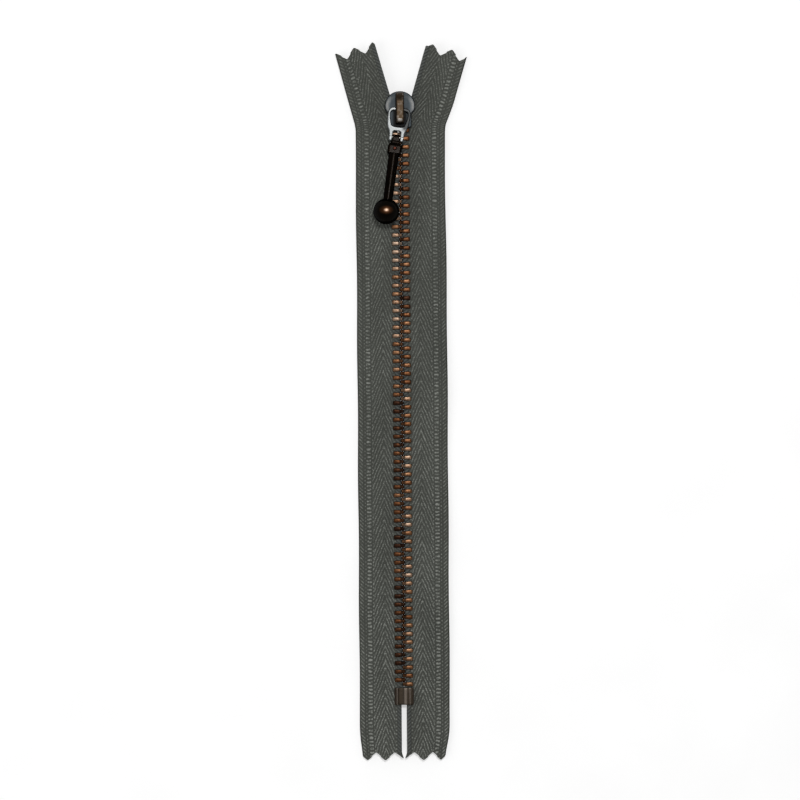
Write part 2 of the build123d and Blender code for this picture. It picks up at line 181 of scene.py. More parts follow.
def mesh_object(name, vertices, faces):
    """A new smooth-shaded object from lists of vertices and faces."""
    mesh = bpy.data.meshes.new(name)
    mesh.from_pydata(vertices, [], faces)
    mesh.validate()
    mesh.polygons.foreach_set("use_smooth", [True] * len(mesh.polygons))
    piece = bpy.data.objects.new(name, mesh)
    bpy.context.scene.collection.objects.link(piece)
    return piece


def add_values(mesh, name, values):
    attribute = mesh.attributes.new(name, "FLOAT", "POINT")
    attribute.data.foreach_set("value", np.asarray(values, np.float32))


# ================================================================ the tapes
def stringer_place(across, station):
    """x and y on the right stringer, `across` from its inner edge and `station` along its bead."""
    past_bend_start = np.clip(station - bend_y, 0, None)
    turn = np.clip(past_bend_start / bead_bend_length, 0, 1) * splay
    run = np.clip(past_bend_start - bead_bend_length, 0, None)
    radius = bend_radius - across
    x = bend_centre.x - radius * np.cos(turn) + run * np.sin(turn)
    y = np.minimum(station, bend_y) + radius * np.sin(turn) + run * np.cos(turn)
    return x, y


def step_out(station, side):
    """How far a stringer has moved out of its designed course above the slider's mouth."""
    return mouth_step[side] * smooth_step(bend_y, bend_y + mouth_step_length, station)


def pinking(distance, depth):
    """How far a pinked edge lies behind its points, `distance` along it from one of them."""
    t = np.abs((distance / pinking_pitch + 0.5) % 1 - 0.5) * 2
    softened = np.sqrt(t * t + (2 * pinking_round) ** 2) - 2 * pinking_round
    blunted = 1 - (np.sqrt((1 - t) ** 2 + pinking_round ** 2) - pinking_round)
    return depth * np.where(t < 0.5, softened, blunted)


def weave_relief(across, station):
    """Height of the woven surface, from 0 in its deepest gaps to 1, as ribs, ladder, dots and selvedge."""
    turn = 2 * math.pi
    rib_phase = station / rib_rise + np.abs(across - rib_peak) / rib_step
    ribs = 0.5 + 0.5 * np.cos(turn * rib_phase)
    ladder = 0.5 + 0.5 * np.cos(turn * station / ladder_pitch)
    dots = 0.5 - 0.5 * np.cos(turn * station / ladder_pitch)
    fine = 0.5 + 0.25 * np.cos(turn * 2 * station / ladder_pitch)
    fade = 0.2 * MM
    in_ribs = smooth_step(rib_start - fade, rib_start + fade, across)
    in_ribs = in_ribs * smooth_step(rib_end + fade, rib_end - fade, across)
    from_ladder = np.abs(across - ladder_across)
    in_ladder = smooth_step(ladder_half_width + fade, ladder_half_width - 0.75 * fade, from_ladder)
    in_dots = smooth_step(1.6 * fade, 0.5 * fade, np.abs(from_ladder - dot_offset))
    in_selvedge = smooth_step(selvedge_across - fade, selvedge_across + 1.5 * fade, across)
    relief = plain_height * (1 - in_ribs) + ribs * in_ribs
    relief = relief * (1 - in_selvedge) + fine * in_selvedge
    relief = relief * (1 - in_dots) + dots * in_dots
    return relief * (1 - in_ladder) + ladder * in_ladder


def tape_columns():
    """How far from the inner edge the tape's mesh has its columns, closer where the weave is finer."""
    width = tape_width / MM
    edges = (0.0, 0.3, 1.8, 8.1, 10.5, width - 0.3, width)
    counts = (3, 5, 37, 13, 7, 3)
    zones = zip(edges, edges[1:], counts)
    parts = [np.linspace(start, end, count, endpoint=False) for start, end, count in zones]
    return np.concatenate(parts + [np.array([width])]) * MM


def tape_grid(side):
    """(across, station) for every column and row of a tape's mesh, from its lower end to its upper."""
    columns = tape_columns()
    row_step = ladder_pitch / 4
    end_rows = 13
    lower_end_length = 4.3 * MM
    upper_end_length = 4.5 * MM
    lower = bottom_y + pinking(inner_x + columns, bottom_pinking_depth)
    upper = top_station - top_trim[side] - pinking(columns - first_top_point[side], top_pinking_depth)
    corner = np.clip(1 - columns / corner_round, 0, 1)
    upper = upper - corner_drop * (1 - np.sqrt(1 - corner ** 2))
    straight = np.arange(bottom_y + lower_end_length, top_station - upper_end_length, row_step)
    low_part = np.linspace(lower, np.full_like(lower, straight[0]), end_rows, endpoint=False)
    high_part = np.linspace(upper, np.full_like(upper, straight[-1]), end_rows, endpoint=False)[::-1]
    middle = np.repeat(straight[:, None], len(columns), 1)
    station = np.concatenate([low_part, middle, high_part])
    return np.repeat(columns[None, :], len(station), 0), station


def edge_thinning(across):
    """1 over the tape, falling to a small share at its two rounded edges."""
    thinnest = 0.25
    round_width = 0.28 * MM
    edge = np.minimum(across, tape_width - across)
    t = np.clip(edge / round_width, 0, 1)
    return thinnest + (1 - thinnest) * np.sqrt(1 - (1 - t) ** 2)


def tape_lie(across, station, side):
    """How the tape's middle surface lies: its outer part sinks to the table in long shallow ripples."""
    outer = np.clip((across - droop_start) / (tape_width - droop_start), 0, 1)
    phase = ripple_phase[side]
    ripple = np.sin(station / long_ripple + phase) + 0.6 * np.sin(station / short_ripple + 2 * phase)
    above_hem = smooth_step(bottom_y, bottom_y + 8 * MM, station)
    return -edge_droop * outer ** droop_power + ripple_height * ripple * outer * (0.4 + 0.6 * above_hem)


def tape_place(across, station, side):
    """x and y on a tape, drawn on the right: the design's course and how this tape departs from it."""
    x, y = stringer_place(across, station)
    outer = across / tape_width
    near_hem = smooth_step(bottom_y + hem_draw_length, bottom_y, station)
    x = x - hem_draw[side] * near_hem ** 2 * outer ** 2
    x = x + extra_width[side] * outer * smooth_step(no_extra_width_y, full_extra_width_y, station)
    near_tip = smooth_step(bottom_y + slit_pinch_length, bottom_y, station)
    x = x - slit_pinch * near_tip * (1 - smooth_step(slit_pinch_start, slit_pinch_end, across))
    x = x + top_lean[side] * smooth_step(bend_y - top_lean_length, top_station, station) * outer
    x = x + step_out(station - mouth_step_lag * outer, side)
    x = x + edge_waver * outer ** 3 * np.sin(station / edge_waver_length + side)
    return x, y


def make_tape(side, name):
    """A tape as one closed mesh, with its face, its back and the wall that joins them at the edges."""
    across, station = tape_grid(side)
    x, y = tape_place(across, station, side)
    middle = mid_z + tape_lie(across, station, side)
    weave = weave_height * (weave_relief(across, station) - 0.5)
    half = (tape_half_thickness + weave) * edge_thinning(across)
    rows, columns = across.shape
    top = np.stack([side * x, y, middle + half], -1).reshape(-1, 3)
    back = np.stack([side * x, y, middle - half], -1).reshape(-1, 3)
    index = np.arange(rows * columns).reshape(rows, columns)
    quads = np.stack([index[:-1, :-1], index[:-1, 1:], index[1:, 1:], index[1:, :-1]], -1).reshape(-1, 4)
    rim = np.concatenate([index[0, :-1], index[:-1, -1], index[-1, :0:-1], index[:0:-1, 0]])
    next_rim = np.roll(rim, -1)
    count = rows * columns
    wall = np.stack([rim, rim + count, next_rim + count, next_rim], -1)
    faces = np.concatenate([quads, quads[:, ::-1] + count, wall])
    if side < 0:
        faces = faces[:, ::-1]
    piece = mesh_object(name, np.concatenate([top, back]).tolist(), faces.tolist())
    add_values(piece.data, "across_mm", np.concatenate([across.ravel()] * 2) / MM)
    add_values(piece.data, "along_mm", np.concatenate([station.ravel()] * 2) / MM)
    piece.data.materials.append(tape_material())
    return piece


# ================================================================ the bead cords
def make_bead_cord(side, name):
    """The cord that the teeth are clamped on: a fat cord wrapped by the tape's edge warps."""
    around = 20
    ring_step = 0.24 * MM
    braid_depth = 0.07                      # of the cord's radius
    end_size = 0.35
    end_length = 0.5 * MM
    start = cord_low.y
    end = bend_y + bead_bend_length + cord_splayed_run
    stations = np.arange(start, end, ring_step)
    angles = np.linspace(0, 2 * math.pi, around, endpoint=False)
    station, angle = np.meshgrid(stations, angles, indexing="ij")
    braid = 0.5 + 0.5 * np.cos(3 * angle + 2 * math.pi * station / ladder_pitch)
    full = smooth_step(0, end_length, station - start) * smooth_step(0, end_length, end - station)
    radius = cord_radius * (1 - braid_depth + braid_depth * braid) * (end_size + (1 - end_size) * full)
    in_chain = smooth_step(stop_high.y - 0.5 * MM, stop_high.y - 0.1 * MM, station)
    in_chain = in_chain * smooth_step(bend_y, bend_y - MM, station)
    at_stop = smooth_step(right_teeth_low.y + 0.3 * MM, right_teeth_low.y - 0.1 * MM, station)
    inward = cord_bulge + (inner_x - cord_bulge) * at_stop
    bulge = inward * in_chain * np.clip(-np.cos(angle), 0, 1) ** 2
    across = cord_across + radius * np.cos(angle) - bulge
    x, y = stringer_place(across, station)
    x = x + step_out(station, side)
    z = mid_z + radius * np.sin(angle)
    vertices = np.stack([side * x, y, z], -1).reshape(-1, 3)
    index = np.arange(len(vertices)).reshape(station.shape)
    onward = np.roll(index, -1, 1)
    faces = np.stack([index[:-1], onward[:-1], onward[1:], index[1:]], -1).reshape(-1, 4)
    faces = [list(f)[::-side] for f in faces] + [list(index[0])[::side], list(index[-1])[::-side]]
    piece = mesh_object(name, vertices.tolist(), [[int(i) for i in f] for f in faces])
    add_values(piece.data, "relief", braid.ravel())
    piece.data.materials.append(cord_material())
    return piece


# ================================================================ softened metal parts
def add_upward(mesh):
    """How squarely each point of a mesh faces up or down, from 0 on its walls to 1."""
    normals = np.empty(len(mesh.vertices) * 3, np.float32)
    mesh.vertices.foreach_get("normal", normals)
    add_values(mesh, "upward", np.abs(normals.reshape(-1, 3)[:, 2]))


def softened_mesh(source, voxel_mm, rounds=4, keep=1.0, swell_mm=0.0):
    """A copy of a mesh with its edges rounded as casting, tumbling and plating leave them."""
    mesh = source.copy()
    mesh.transform(Matrix.Scale(1 / MM, 4))
    piece = bpy.data.objects.new("softening", mesh)
    bpy.context.scene.collection.objects.link(piece)
    remesh = piece.modifiers.new("remesh", "REMESH")
    remesh.mode = "VOXEL"
    remesh.voxel_size = voxel_mm
    smooth = piece.modifiers.new("smooth", "SMOOTH")
    smooth.factor = 0.5
    smooth.iterations = rounds
    if swell_mm:
        swell = piece.modifiers.new("swell", "DISPLACE")
        swell.mid_level = 0
        swell.strength = swell_mm
    if keep < 1:
        piece.modifiers.new("thin", "DECIMATE").ratio = keep
    evaluated = piece.evaluated_get(bpy.context.evaluated_depsgraph_get())
    made = bpy.data.meshes.new_from_object(evaluated)
    bpy.data.objects.remove(piece)
    made.transform(Matrix.Scale(MM, 4))
    made.polygons.foreach_set("use_smooth", [True] * len(made.polygons))
    return made


def soften_node(node, name, material, voxel_mm, rounds=4, swell_mm=0.0):
    """A piece that stands for a CAD node, with the node's shape and rounded edges."""
    mesh = softened_mesh(frame["nodes"][node].data, voxel_mm, rounds, swell_mm=swell_mm)
    mesh.name = name
    mesh.materials.clear()
    mesh.materials.append(material)
    add_upward(mesh)
    piece = bpy.data.objects.new(name, mesh)
    bpy.context.scene.collection.objects.link(piece)
    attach(piece, frame["nodes"][node]["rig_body"])
    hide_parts(node)
    return piece


# ================================================================ the teeth
def one_tooth():
    """The mesh of one right-hand tooth, with its station at y 0."""
    station = right_teeth_low.y + half_leg
    made = bmesh.new()
    made.from_mesh(frame["nodes"]["right_teeth"].data)
    outside = [v for v in made.verts if abs(v.co.y - station) > tooth_pitch / 2]
    bmesh.ops.delete(made, geom=outside, context="VERTS")
    bmesh.ops.remove_doubles(made, verts=made.verts, dist=0.001 * MM)
    bmesh.ops.translate(made, verts=made.verts, vec=(0, -station, 0))
    mesh = bpy.data.meshes.new("tooth")
    made.to_mesh(mesh)
    made.free()
    tooth = softened_mesh(mesh, voxel_mm=0.085, rounds=3, keep=0.40)
    for vertex in tooth.vertices:
        vertex.co = crowned(vertex.co)
    return tooth


def tooth_half_width(x):
    """Half the width of a tooth's crown along the chain: a drop, round at the legs, slim at the head."""
    if x < tooth_widest:
        swelling = tooth_crown_half_width - tooth_head_half_width
        return tooth_head_half_width + swelling * smooth_step(0.2 * MM, tooth_widest, x)
    past = min(1, (x - tooth_widest) / (tooth_end - tooth_widest))
    return tooth_crown_half_width * math.sqrt(1 - 0.75 * past * past)


def crowned(point):
    """Stamping leaves a tooth's crown drop-shaped and its upper and lower faces domed."""
    head_swell = 1.09                       # the head spreads a little as it is stamped
    side_fall = 0.09                        # of the crown's height, at its sides
    end_fall = 0.20                         # and at its outer end
    height = min(1, abs(point.z - mid_z) / tooth_half_height)
    squeeze = 1 + (tooth_half_width(point.x) / half_leg - 1) * height ** 3
    if point.x < tooth_head_end:
        squeeze *= head_swell
    across = min(1, abs(point.y) / half_leg)
    past = max(0, (point.x - tooth_widest) / (tooth_end - tooth_widest))
    dome = 1 - side_fall * across ** 2 - end_fall * min(1, past) ** 2
    return Vector((point.x, point.y * squeeze, mid_z + (point.z - mid_z) * dome))


def bead_matrix(station):
    """Carries a tooth drawn at station 0 of a straight right-hand bead to its station."""
    past_bend_start = max(0, station - bend_y)
    turn = min(1, past_bend_start / bead_bend_length) * splay
    straight_y = min(station, bend_y) + max(0, past_bend_start - bead_bend_length)
    about = Matrix.Translation(bend_centre)
    return about @ Matrix.Rotation(-turn, 4, "Z") @ about.inverted() @ Matrix.Translation((0, straight_y, 0))


def tooth_sheen_level(side, station):
    """How strongly one tooth's crown is painted with reflected light: the left row most above, the right row
    lower down, with a random difference from tooth to tooth.
    """
    above = smooth_step(0, 20 * MM, station)
    if side < 0:
        level = 0.22 + 0.48 * above - 0.10 * smooth_step(-30 * MM, -80 * MM, station)
    else:
        level = 0.62 - 0.30 * above - 0.08 * smooth_step(-40 * MM, -70 * MM, station)
    level += 0.09 * math.sin(station / (2.9 * MM) + side)
    return min(1, max(0, level + random_source.gauss(0, 0.12)))


def tooth_polish_and_light(points, normals):
    """How bright each point of a tooth is painted: painted light where it faces up on the middle of its
    crown, painted shade on its sides and less light towards its head, partly as rubbing.
    """
    upward = np.abs(normals[:, 2])
    outer = smooth_step(-0.4 * MM, 1.6 * MM, points[:, 0])
    crown = np.array([tooth_half_width(x) for x in points[:, 0]])
    inside = smooth_step(1.08, 0.82, np.abs(points[:, 1]) / crown)
    return smooth_step(0.35, 0.9, upward) * inside * (0.35 + 0.65 * outer)


def make_teeth(side, lowest, name):
    """A whole row of teeth, each turned a little off square as clamping leaves it."""
    tooth = one_tooth()
    count = len(tooth.vertices)
    points = np.empty(count * 3, np.float32)
    tooth.vertices.foreach_get("co", points)
    points = np.c_[points.reshape(-1, 3), np.ones(count)]
    normals = np.empty(count * 3, np.float32)
    tooth.vertices.foreach_get("normal", normals)
    polish_and_light = tooth_polish_and_light(points, normals.reshape(-1, 3))
    faces = [list(p.vertices) for p in tooth.polygons]
    all_points, all_faces, sheen_levels, polish_and_light_values = [], [], [], []
    for k in range(tooth_count):
        station = lowest + k * tooth_pitch
        jitter = Matrix.Rotation(math.radians(random_source.gauss(0, 0.5)), 4, "Z")
        place = bead_matrix(station) @ jitter
        placed = points @ np.array(place).T
        placed[:, 0] *= side
        all_points.append(placed[:, :3])
        all_faces += [[i + k * count for i in f][::side] for f in faces]
        sheen_levels.append(np.full(count, tooth_sheen_level(side, station)))
        polish_and_light_values.append(polish_and_light)
    piece = mesh_object(name, np.concatenate(all_points).tolist(), all_faces)
    # Each tooth's level of painted reflection, with its random part.
    add_values(piece.data, "tone", np.concatenate(sheen_levels))
    add_values(piece.data, "polish_and_light", np.concatenate(polish_and_light_values))
    piece.data.materials.append(teeth_material())
    return piece


# ================================================================ turned parts
def lathe(name, start, along, profile, around=72):
    """A turned piece: profile is (distance along the axis, radius) from one pole to the other."""
    along = along.normalized()
    right = along.orthogonal().normalized()
    up = along.cross(right)
    vertices, faces = [], []
    for distance, radius in profile:
        for k in range(around):
            angle = 2 * math.pi * k / around
            offset = right * math.cos(angle) + up * math.sin(angle)
            vertices.append(start + along * distance + offset * radius)
    for ring in range(len(profile) - 1):
        for k in range(around):
            a = ring * around + k
            b = ring * around + (k + 1) % around
            faces.append((a, b, b + around, a + around))
    last = (len(profile) - 1) * around
    faces.append(tuple(range(around))[::-1])
    faces.append(tuple(range(last, last + around)))
    return mesh_object(name, [tuple(v) for v in vertices], faces)


# ================================================================ materials
class Shader:
    """A material's node tree around one Principled shader."""

    def __init__(self, name, **settings):
        self.material = bpy.data.materials.new(name)
        self.material.use_nodes = True
        self.nodes = self.material.node_tree.nodes
        self.links = self.material.node_tree.links
        self.shader = self.nodes["Principled BSDF"]
        for socket, value in settings.items():
            self.shader.inputs[socket.replace("_", " ")].default_value = value

    def put(self, value, socket):
        if isinstance(value, bpy.types.NodeSocket):
            self.links.new(value, socket)
        else:
            socket.default_value = value

    def math(self, operation, *values):
        node = self.nodes.new("ShaderNodeMath")
        node.operation = operation
        for value, socket in zip(values, node.inputs):
            self.put(value, socket)
        return node.outputs[0]

    def attribute(self, name):
        node = self.nodes.new("ShaderNodeAttribute")
        node.attribute_name = name
        return node.outputs["Fac"]

    def place(self):
        return self.nodes.new("ShaderNodeTexCoord").outputs["Object"]

    def noise(self, scale, detail=3.0, stretch=(1, 1, 1)):
        mapping = self.nodes.new("ShaderNodeMapping")
        self.links.new(self.place(), mapping.inputs["Vector"])
        mapping.inputs["Scale"].default_value = stretch
        node = self.nodes.new("ShaderNodeTexNoise")
        self.links.new(mapping.outputs[0], node.inputs["Vector"])
        node.inputs["Scale"].default_value = scale
        node.inputs["Detail"].default_value = detail
        return node.outputs["Fac"]

    def wave(self, phase, sharpness=0.0):
        """0 to 1 and back with each whole step of the phase, with narrower crests as sharpness rises."""
        turn = self.math("MULTIPLY", phase, 2 * math.pi)
        crest = self.math("MULTIPLY_ADD", self.math("COSINE", turn), 0.5, 0.5)
        return self.between(crest, sharpness, 1.0)

    def band(self, value, low, high, soft):
        """1 where the value lies between low and high, fading over `soft` at both sides."""
        rise = self.between(value, low - soft, low + soft)
        return self.math("MULTIPLY", rise, self.between(value, high + soft, high - soft))

    def axis(self, index, start=0.0):
        """One of the coordinates, in millimetres from `start`."""
        split = self.nodes.new("ShaderNodeSeparateXYZ")
        self.links.new(self.place(), split.inputs[0])
        return self.math("DIVIDE", self.math("SUBTRACT", split.outputs[index], start), MM)

    def off_axis(self):
        """How far a point lies to either side of the chain's axis, in millimetres."""
        return self.math("ABSOLUTE", self.axis(0))

    def distance(self, a, b):
        """The length of a step of `a` one way and `b` across it."""
        return self.math("SQRT", self.math("ADD", self.math("MULTIPLY", a, a), self.math("MULTIPLY", b, b)))

    def pointiness(self, low, high):
        geometry = self.nodes.new("ShaderNodeNewGeometry")
        return self.between(geometry.outputs["Pointiness"], low, high)

    def between(self, value, low, high, out_low=0.0, out_high=1.0):
        node = self.nodes.new("ShaderNodeMapRange")
        self.put(value, node.inputs["Value"])
        node.inputs["From Min"].default_value = low
        node.inputs["From Max"].default_value = high
        node.inputs["To Min"].default_value = out_low
        node.inputs["To Max"].default_value = out_high
        return node.outputs["Result"]

    def mix(self, factor, a, b):
        node = self.nodes.new("ShaderNodeMix")
        node.data_type = "RGBA"
        self.put(factor, node.inputs["Factor"])
        self.put((*a, 1) if isinstance(a, tuple) else a, node.inputs[6])
        self.put((*b, 1) if isinstance(b, tuple) else b, node.inputs[7])
        return node.outputs[2]

    def ramp(self, value, *stops):
        node = self.nodes.new("ShaderNodeValToRGB")
        self.put(value, node.inputs["Fac"])
        elements = node.color_ramp.elements
        while len(elements) < len(stops):
            elements.new(0.5)
        for element, (position, colour) in zip(elements, stops):
            element.position = position
            element.color = (*colour, 1)
        return node.outputs["Color"]

    def colour(self, value):
        self.put(value, self.shader.inputs["Base Color"])

    def roughness(self, value):
        self.put(value, self.shader.inputs["Roughness"])

    def bump(self, height, distance, strength=1.0):
        node = self.nodes.new("ShaderNodeBump")
        node.inputs["Strength"].default_value = strength
        node.inputs["Distance"].default_value = distance
        self.put(height, node.inputs["Height"])
        self.links.new(node.outputs[0], self.shader.inputs["Normal"])


made_materials = {}


def once(make):
    """Each material is made once and then shared."""
    def fetch():
        if make.__name__ not in made_materials:
            made_materials[make.__name__] = make()
        return made_materials[make.__name__]
    return fetch


def pale_floats(s, across, along):
    """Where the pale yarn lies on top: ribs, ladder, dotted columns, selvedge and inner edge."""
    pick = s.math("DIVIDE", along, ladder_pitch / MM)
    unevenness = s.math("MULTIPLY", s.math("SUBTRACT", s.noise(700, 3.0), 0.5), 0.95)
    from_spine = s.math("ABSOLUTE", s.math("SUBTRACT", across, rib_peak / MM))
    rib_phase = s.math("ADD", s.math("DIVIDE", from_spine, rib_step / MM),
                       s.math("MULTIPLY", pick, ladder_pitch / rib_rise))
    ribs = s.wave(s.math("ADD", rib_phase, unevenness), 0.35)
    grains = s.wave(s.math("MULTIPLY_ADD", pick, 2.0, 0.5))
    ribs = s.math("MULTIPLY", ribs, s.between(grains, 0.0, 1.0, 0.55, 1.0))
    ribs = s.math("MULTIPLY", ribs, s.band(across, rib_start / MM, rib_end / MM, 0.15))
    from_ladder = s.math("ABSOLUTE", s.math("SUBTRACT", across, ladder_across / MM))
    ladder = s.math("MULTIPLY", s.wave(s.math("ADD", pick, unevenness), 0.2),
                    s.between(from_ladder, 0.72, 0.50))
    columns = s.math("MULTIPLY", s.wave(s.math("ADD", pick, 0.5), 0.3),
                     s.band(from_ladder, dot_offset / MM - 0.16, dot_offset / MM + 0.16, 0.1))
    selvedge = s.math("MULTIPLY", s.wave(s.math("SUBTRACT", pick, s.math("MULTIPLY", across, 0.9)), 0.3),
                      s.band(across, selvedge_across / MM, tape_width / MM - 0.4, 0.1))
    inner_edge = s.math("MULTIPLY", s.wave(pick, 0.3), s.band(across, 1.35, 1.75, 0.1))
    pale = s.math("ADD", ribs, s.math("MULTIPLY", ladder, 1.25))
    for part in (columns, selvedge, inner_edge):
        pale = s.math("ADD", pale, s.math("MULTIPLY", part, 0.8))
    return pale


@once
def tape_material():
    """Dark grey-green yarn, with pale floats that glint where their fibres catch the light."""
    gap = (0.011, 0.011, 0.010)
    ground_yarn = (0.078, 0.082, 0.071)
    float_yarn = (0.190, 0.200, 0.178)
    glint = (0.35, 0.36, 0.33)
    s = Shader("tape_weave", Roughness=0.85, Specular_IOR_Level=0.25)
    across = s.attribute("across_mm")
    along = s.attribute("along_mm")
    fibre = s.noise(6500, 4.0)
    glints = s.between(s.noise(1900, 2.0), 0.38, 0.68, 0.25, 1.6)
    firmness = s.between(along, bottom_y / MM + 5, 30, 1.5, 1.0)
    patches = s.between(s.noise(110, 2.0, (1.4, 0.5, 1)), 0.3, 0.7, 0.90, 1.12)
    edge_shade = s.between(across, tape_width / MM - 0.4, tape_width / MM - 0.1, 1.0, 0.35)
    pale = s.math("MULTIPLY", pale_floats(s, across, along), glints)
    pale = s.math("MULTIPLY", pale, s.math("MULTIPLY", patches, firmness))
    ground = s.math("MULTIPLY", s.between(fibre, 0.3, 0.7, 0.65, 1.35), patches)
    ground = s.math("MULTIPLY", ground, edge_shade)
    tone = s.math("ADD", s.math("MULTIPLY", ground, 0.34), s.math("MULTIPLY", pale, 0.40))
    s.colour(s.ramp(tone, (0.0, gap), (0.34, ground_yarn), (0.70, float_yarn), (1.0, glint)))
    s.bump(s.math("ADD", s.math("MULTIPLY", pale, 0.6), s.math("MULTIPLY", fibre, 0.4)), 0.05 * MM, 0.7)
    return s.material


@once
def cord_material():
    """The same yarn, braided, without the pale floats, painted darker in the braid's hollows as shade and
    lighter on its crests as painted light.
    """
    painted_shade_colour = (0.03, 0.031, 0.028)
    crest = (0.15, 0.16, 0.15)
    s = Shader("bead_cord", Roughness=0.85, Specular_IOR_Level=0.3)
    fibre = s.noise(7000, 4.0)
    tone = s.math("ADD", s.math("MULTIPLY", s.attribute("relief"), 0.6), s.math("MULTIPLY", fibre, 0.4))
    # Painted shade and light: dark down in the braid's hollows, light on its crests.
    s.colour(s.ramp(tone, (0.1, painted_shade_colour), (0.9, crest)))
    s.bump(fibre, 0.04 * MM, 0.7)
    return s.material


@once
def teeth_material():
    """Copper painted almost black as shade on its sides and heads, and on its crowns with painted
    reflections from dark to pale copper, partly rubbed bright.
    """
    painted_shade_colour = (0.014, 0.009, 0.006)
    brown = (0.045, 0.020, 0.012)
    copper = (0.17, 0.068, 0.028)
    pale_copper = (0.33, 0.17, 0.088)
    brightest_reflection = (0.52, 0.38, 0.28)
    s = Shader("tooth_copper", Metallic=1.0)
    blotch = s.noise(1900, 3.0)
    tone = s.math("ADD", s.attribute("tone"), s.math("MULTIPLY", s.math("SUBTRACT", blotch, 0.5), 0.6))
    # Painted reflections: the crown's colour follows the tooth's painted reflection level.
    crown_reflection = s.ramp(tone, (0.0, brown), (0.35, copper), (0.62, pale_copper), (1.0, brightest_reflection))
    polish_and_light = s.attribute("polish_and_light")
    # Painted shade where the mask is low, the crown's painted reflection where it is high.
    s.colour(s.mix(polish_and_light, painted_shade_colour, crown_reflection))
    s.roughness(s.between(polish_and_light, 0.0, 1.0, 0.55, 0.42))
    s.bump(s.noise(5200, 2.0), 0.02 * MM, 0.35)
    return s.material


def worn_metal(name, dark, bright, wear, roughness, shade=None, rubbed=None):
    """Plated metal, dark in its hollows, painted dark on its sides as shade, and rubbed bright on its upper
    edges.

    `wear` says how sharp an edge is where it begins to wear and where it is worn through, and `roughness`
    is the plating's and the worn metal's. `shade` makes a pattern that is 0 where the metal is painted black
    as shade, and `rubbed` one that is 1 where it is painted bright on its flat faces too, as wear and as
    painted highlight.
    """
    painted_shade_black = (0.006, 0.006, 0.006)
    s = Shader(name, Metallic=1.0)
    worn = s.pointiness(*wear)
    if rubbed:
        worn = s.math("MAXIMUM", worn, rubbed(s))
    worn = s.math("ADD", worn, s.math("MULTIPLY", s.math("SUBTRACT", s.noise(700, 4.0), 0.5), 0.45))
    # Painted shade: faces that turn away from straight up are kept darker.
    on_top = s.between(s.attribute("upward"), 0.45, 0.9, 0.12, 1.0)
    worn = s.math("MULTIPLY", s.between(worn, 0.0, 1.0), on_top)
    colour = s.mix(worn, dark, bright)
    if shade:
        # Painted shade: where the pattern is 0, the colour is painted near black.
        colour = s.mix(shade(s), painted_shade_black, colour)
    s.colour(colour)
    s.roughness(s.between(worn, 0.0, 1.0, *roughness))
    s.bump(s.noise(2600, 3.0), 0.02 * MM, 0.3)
    return s.material


@once
def slider_material():
    def shade(s):
        """Painted shade keeps the plate black around the bridge."""
        beside = s.between(s.off_axis(), 1.7, 2.7)
        ahead = s.between(s.axis(1, slider_low.y), 4.8, 6.2, 0.0, 0.75)
        return s.math("MAXIMUM", beside, ahead)

    def rim(s):
        """The head's rounded edge, painted pale: partly rubbed by cloth and fingers, partly a painted sheen
        where its slope catches the light.
        """
        along = s.axis(1, slider_low.y)
        from_centre = s.distance(s.off_axis(), s.math("SUBTRACT", along, 6.3))
        round_rim = s.band(from_centre, 3.3, 4.2, 0.45)
        beside_cap = s.band(along, 4.9, 8.6, 0.9)
        return s.math("MULTIPLY", s.math("MULTIPLY", round_rim, beside_cap), 0.9)
    return worn_metal("slider_nickel", (0.030, 0.036, 0.040), (0.084, 0.083, 0.080),
                      wear=(0.52, 0.60), roughness=(0.40, 0.34), shade=shade, rubbed=rim)


@once
def cap_material():
    half_width = cap_high.x / MM

    def shade(s):
        """The cap's side edges are nearly black."""
        return s.between(s.off_axis(), half_width - 0.4, half_width - 0.05, 1.0, 0.3)

    def painted_highlight_spot(s):
        """A painted highlight on the cap's rounded rear."""
        along = s.band(s.axis(1, cap_low.y), 0.6, 1.2, 0.2)
        return s.math("MULTIPLY", along, s.between(s.off_axis(), half_width - 0.4, half_width - 0.9))
    # The pale colour serves the worn edges and the painted highlight.
    return worn_metal("cap_bronze", (0.050, 0.034, 0.021), (0.95, 0.88, 0.80),
                      wear=(0.60, 0.72), roughness=(0.42, 0.34), shade=shade, rubbed=painted_highlight_spot)


@once
def clip_material():
    def shade(s):
        """Painted shade keeps the right-hand arm dark ahead of the crossbar, where the left arm stays
        bright.
        """
        beside = s.between(s.axis(0), 0.3, 1.1)
        ahead_of_crossbar = s.between(s.axis(1, clip_low.y), 2.84, 3.84)
        return s.between(s.math("MULTIPLY", beside, ahead_of_crossbar), 0.0, 1.0, 1.0, 0.15)
    return worn_metal("clip_nickel", (0.12, 0.125, 0.125), (0.215, 0.225, 0.225),
                      wear=(0.36, 0.50), roughness=(0.44, 0.38), shade=shade)


@once
def stop_material():
    def creases(s):
        """The raised creases and the middle band, painted paler than the rest."""
        x = s.axis(0)
        left = s.band(x, left_crease_x - 0.15, left_crease_x + 0.15, 0.15)
        right = s.band(x, right_crease_x - 0.12, right_crease_x + 0.12, 0.12)
        middle = s.math("MULTIPLY", s.band(x, middle_band_x - 0.5, middle_band_x + 0.5, 0.2), 0.5)
        return s.math("MAXIMUM", s.math("MAXIMUM", left, middle), right)
    return worn_metal("stop_bronze", (0.064, 0.049, 0.036), (0.30, 0.25, 0.21),
                      wear=(0.55, 0.62), roughness=(0.48, 0.36), rubbed=creases)


@once
def top_stop_material():
    return worn_metal("top_stop_copper", (0.05, 0.025, 0.015), (0.30, 0.18, 0.11),
                      wear=(0.46, 0.58), roughness=(0.42, 0.30))


@once
def pin_material():
    return worn_metal("pin_steel", (0.035, 0.024, 0.016), (0.26, 0.25, 0.23),
                      wear=(0.46, 0.54), roughness=(0.35, 0.22))


